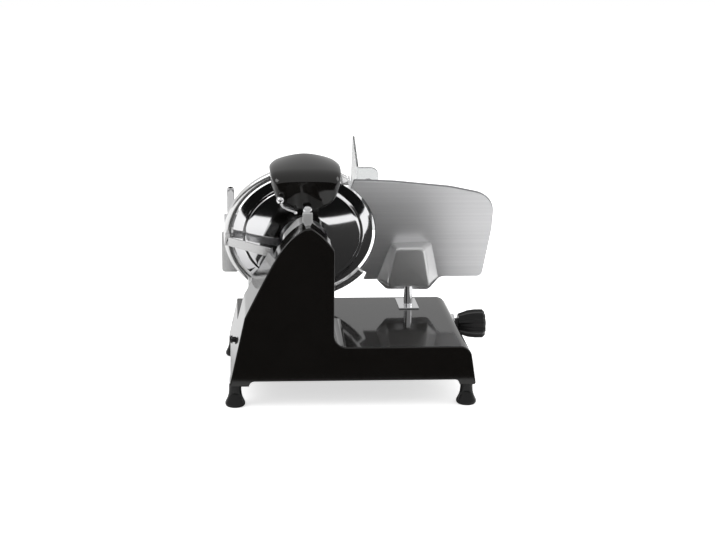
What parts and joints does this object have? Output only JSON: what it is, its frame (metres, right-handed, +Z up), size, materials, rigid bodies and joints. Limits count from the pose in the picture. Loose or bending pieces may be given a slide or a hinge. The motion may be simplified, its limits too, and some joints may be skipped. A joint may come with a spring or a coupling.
{
  "type": "meat slicer",
  "caption": "Gravity-feed slicer: a tilted round blade on an enamelled tower, a gauge plate set by a knob, a sliding food tray with pusher, and a sharpener over the blade.",
  "frame": {"origin": "on the floor under the middle of the whole machine's box", "axes": "+Z up, +X towards the operator's side with the thickness knob and switch, +Y towards the food tray; the panel beside the falling slices faces -Y"},
  "size_m": [0.4259, 0.3762, 0.3583],
  "materials": {
    "black_enamel": "black enamel on cast aluminium",
    "steel": "machined steel",
    "polished_blade": "polished stainless steel",
    "polished_aluminium": "polished",
    "brushed_aluminium": "brushed",
    "cast_aluminium": "satin",
    "chrome": "chrome plated",
    "black_plastic": "moulded",
    "rubber": "black rubber",
    "clear_plastic": "clear sheet",
    "grinding_stone": "bonded abrasive",
    "green_plastic": "moulded",
    "red_plastic": "moulded"
  },
  "bodies": {
    "base": {"body_casting": "black_enamel", "base_plate": "steel", "foot_front_left": "rubber", "foot_front_right": "rubber", "foot_rear_left": "rubber", "foot_rear_right": "rubber", "hub_cover": "polished_aluminium", "bearing_front": "steel", "bearing_rear": "steel", "motor_body": "steel", "motor_bracket": "steel", "drive_belt": "rubber", "blade_guard": "cast_aluminium", "guard_stand": "cast_aluminium", "slice_deflector": "cast_aluminium", "blade_cover": "cast_aluminium", "gauge_rod": "steel", "gauge_bracket": "cast_aluminium", "dial_ring": "chrome", "carriage_rail": "steel", "sharpener_arm": "cast_aluminium", "switch_body": "black_plastic", "cable_gland": "rubber"},
    "blade_unit": {"blade": "polished_blade", "blade_shaft": "steel", "blade_screw_1": "steel", "blade_screw_2": "steel", "blade_screw_3": "steel", "driven_pulley": "black_plastic"},
    "motor_rotor": {"motor_pulley": "steel"},
    "gauge": {"gauge_plate": "brushed_aluminium", "gauge_boss": "brushed_aluminium", "gauge_slider": "steel", "gauge_column": "chrome", "slot_cover": "chrome"},
    "knob": {"thickness_knob": "black_plastic", "spiral_cam": "steel"},
    "carriage": {"carriage_slider": "steel", "carriage_arm": "cast_aluminium", "tray": "polished_aluminium", "end_plate": "cast_aluminium", "slide_rod": "chrome", "hand_guard": "clear_plastic", "tray_handle": "black_plastic"},
    "pusher_carrier": {"pusher_collar": "cast_aluminium"},
    "pusher": {"pusher_sleeve": "cast_aluminium", "pusher_plate": "cast_aluminium", "pusher_grip": "black_plastic"},
    "sharpener": {"sharpener_cover": "black_enamel", "sharpener_housing": "cast_aluminium"},
    "sharpening_press": {"sharpening_button": "chrome"},
    "grinding_wheel": {"grinding_stone": "grinding_stone"},
    "deburring_press": {"deburr_lever": "chrome"},
    "deburring_carrier": {"deburr_carrier": "steel"},
    "deburring_wheel": {"deburring_stone": "grinding_stone"},
    "on_switch": {"on_button": "green_plastic"},
    "off_switch": {"off_button": "red_plastic"},
    "deflector_screw": {"deflector_knob": "black_plastic"},
    "cover_screw": {"cover_knob": "black_plastic"}
  },
  "joints": [
    {"name": "blade_spin", "type": "hinge", "parent": "base", "child": "blade_unit", "pos_m": [-0.085, 0.01686, 0.217], "axis": [0, 0.9272, 0.3746], "continuous": true},
    {"name": "motor_spin", "type": "hinge", "parent": "base", "child": "motor_rotor", "pos_m": [-0.114, -0.06279, 0.10716], "axis": [0, 0.9272, 0.3746], "continuous": true},
    {"name": "knob_turn", "type": "hinge", "parent": "base", "child": "knob", "pos_m": [0.186, 0.03986, 0.061], "axis": [1, 0, 0], "range_deg": [0, 300]},
    {"name": "gauge_slide", "type": "slide", "parent": "base", "child": "gauge", "axis": [0, -1, 0], "range_m": [0, 0.014]},
    {"name": "carriage_slide", "type": "slide", "parent": "base", "child": "carriage", "axis": [1, 0, 0], "range_m": [0, 0.2]},
    {"name": "pusher_slide", "type": "slide", "parent": "carriage", "child": "pusher_carrier", "axis": [0, 0.9272, 0.3746], "range_m": [0, 0.097]},
    {"name": "pusher_swing", "type": "hinge", "parent": "pusher_carrier", "child": "pusher", "pos_m": [-0.1985, 0.05011, 0.21479], "axis": [0, -0.9272, -0.3746], "range_deg": [0, 95]},
    {"name": "sharpener_lift", "type": "slide", "parent": "base", "child": "sharpener", "axis": [0, -0.3746, 0.9272], "range_m": [0, 0.045]},
    {"name": "sharpening_press", "type": "slide", "parent": "sharpener", "child": "sharpening_press", "axis": [0, 0.9272, 0.3746], "range_m": [0, 0.003], "stiffness_N_per_m": 600},
    {"name": "grinding_spin", "type": "hinge", "parent": "sharpening_press", "child": "grinding_wheel", "pos_m": [-0.083, -0.03024, 0.30421], "axis": [0, 0.9272, 0.3746], "continuous": true},
    {"name": "deburring_pull", "type": "slide", "parent": "sharpener", "child": "deburring_press", "axis": [0, -0.9272, -0.3746], "range_m": [0, 0.003], "stiffness_N_per_m": 600},
    {"name": "deburring_close", "type": "slide", "parent": "sharpener", "child": "deburring_carrier", "axis": [0, -0.9272, -0.3746], "range_m": [0, 0.003]},
    {"name": "deburring_spin", "type": "hinge", "parent": "deburring_carrier", "child": "deburring_wheel", "pos_m": [-0.101, -0.00984, 0.31245], "axis": [0, 0.9272, 0.3746], "continuous": true},
    {"name": "on_press", "type": "slide", "parent": "base", "child": "on_switch", "axis": [-1, 0, 0], "range_m": [0, 0.002], "stiffness_N_per_m": 400},
    {"name": "off_press", "type": "slide", "parent": "base", "child": "off_switch", "axis": [-1, 0, 0], "range_m": [0, 0.002], "stiffness_N_per_m": 400},
    {"name": "deflector_knob_turn", "type": "hinge", "parent": "base", "child": "deflector_screw", "pos_m": [-0.131, -0.01535, 0.18727], "axis": [0, 0.9272, 0.3746], "continuous": true},
    {"name": "cover_knob_turn", "type": "hinge", "parent": "base", "child": "cover_screw", "pos_m": [-0.2015, 0.01882, 0.24152], "axis": [0, 0.9272, 0.3746], "continuous": true}
  ],
  "couplings": [
    {"joint": "motor_spin", "follows": "blade_spin", "ratio": 2.3717},
    {"joint": "knob_turn", "follows": "gauge_slide", "rad_per_m": 374},
    {"joint": "deburring_close", "follows": "deburring_pull", "ratio": 1}
  ]
}
